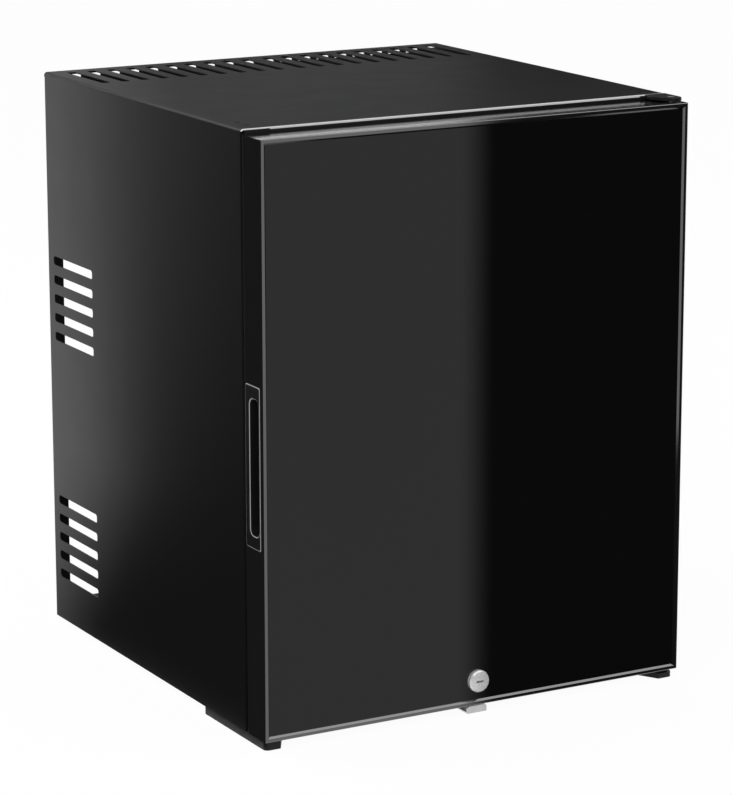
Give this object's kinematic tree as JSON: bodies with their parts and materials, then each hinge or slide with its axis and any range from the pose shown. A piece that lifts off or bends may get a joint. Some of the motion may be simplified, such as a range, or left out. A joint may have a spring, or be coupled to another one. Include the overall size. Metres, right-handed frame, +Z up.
{
  "type": "minibar fridge",
  "caption": "Small hotel absorption fridge with a black glass door in a slim metal frame, a recessed edge pull, a cam lock, vented steel cabinet and an open rear cooling unit.",
  "frame": {"origin": "on the floor under the middle of the whole fridge", "axes": "+Z up, the door faces -Y, the door hinge is on the +X side"},
  "size_m": [0.4, 0.4124, 0.503],
  "materials": {
    "black_paint": "satin black powder coat",
    "zinc_steel": "zinc-plated steel",
    "grey_plastic": "fine satin grain",
    "white_plastic": "smooth moulded",
    "white_wire": "white coated wire",
    "foam": "rigid foam",
    "bare_aluminium": "mill finish",
    "lens": "translucent",
    "black_plastic": "fine grain",
    "chrome": "polished",
    "tube_paint": "black lacquer",
    "black_glass": "glossy black glass, opaque",
    "satin_frame": "satin grey anodised",
    "seal": "soft grey seal"
  },
  "bodies": {
    "cabinet": {"top_panel": "black_paint", "left_side_panel": "black_paint", "right_side_panel": "black_paint", "base_plate": "zinc_steel", "back_plate": "zinc_steel", "front_frame": "grey_plastic", "inner_liner": "white_plastic", "foam_insulation": "foam", "lower_shelf": "white_wire", "upper_shelf": "white_wire", "evaporator_plug": "foam", "evaporator_fins": "bare_aluminium", "drip_tray": "white_plastic", "control_housing": "white_plastic", "lamp_lens": "lens", "front_left_foot": "black_plastic", "front_right_foot": "black_plastic", "rear_left_foot": "black_plastic", "rear_right_foot": "black_plastic", "foot_screws": "zinc_steel", "upper_hinge_leaf": "black_paint", "lower_hinge_leaf": "zinc_steel", "hinge_pins": "zinc_steel", "hinge_screws": "black_paint", "blanking_plug": "black_plastic", "strike": "chrome", "strike_screws": "zinc_steel", "boiler_casing": "zinc_steel", "heater_cartridge": "zinc_steel", "boiler_strap": "zinc_steel", "condenser_tube": "tube_paint", "condenser_fins": "bare_aluminium", "condenser_brackets": "zinc_steel", "tank_brackets": "zinc_steel", "bracket_screws": "zinc_steel", "absorber_coil": "tube_paint", "absorber_tank": "tube_paint", "gas_tube": "tube_paint", "solution_tube": "tube_paint", "control_box": "black_plastic", "control_box_cover": "black_plastic", "cord_gland": "black_plastic"},
    "door": {"door_glass": "black_glass", "door_frame_top": "satin_frame", "door_frame_bottom": "satin_frame", "door_frame_left": "satin_frame", "door_frame_right": "satin_frame", "door_foam": "foam", "door_liner": "white_plastic", "door_gasket": "seal", "handle_cup": "black_plastic", "upper_rack": "white_plastic", "lower_rack": "white_plastic", "hinge_bushes": "black_plastic", "lock_housing": "chrome", "lock_nut": "zinc_steel"},
    "lock": {"lock_plug": "chrome", "lock_cam": "zinc_steel", "cam_screw": "zinc_steel"},
    "thermostat": {"thermostat_knob": "white_plastic"}
  },
  "joints": [
    {"name": "door_hinge", "type": "hinge", "parent": "cabinet", "child": "door", "pos_m": [0.192, -0.18875, 0.255], "axis": [0, 0, 1], "range_deg": [0, 115]},
    {"name": "lock_turn", "type": "hinge", "parent": "door", "child": "lock", "pos_m": [0, -0.20275, 0.029], "axis": [0, 1, 0], "range_deg": [0, 90]},
    {"name": "thermostat_turn", "type": "hinge", "parent": "cabinet", "child": "thermostat", "pos_m": [0.144, -0.02325, 0.416], "axis": [-1, 0, 0], "range_deg": [0, 270]}
  ]
}
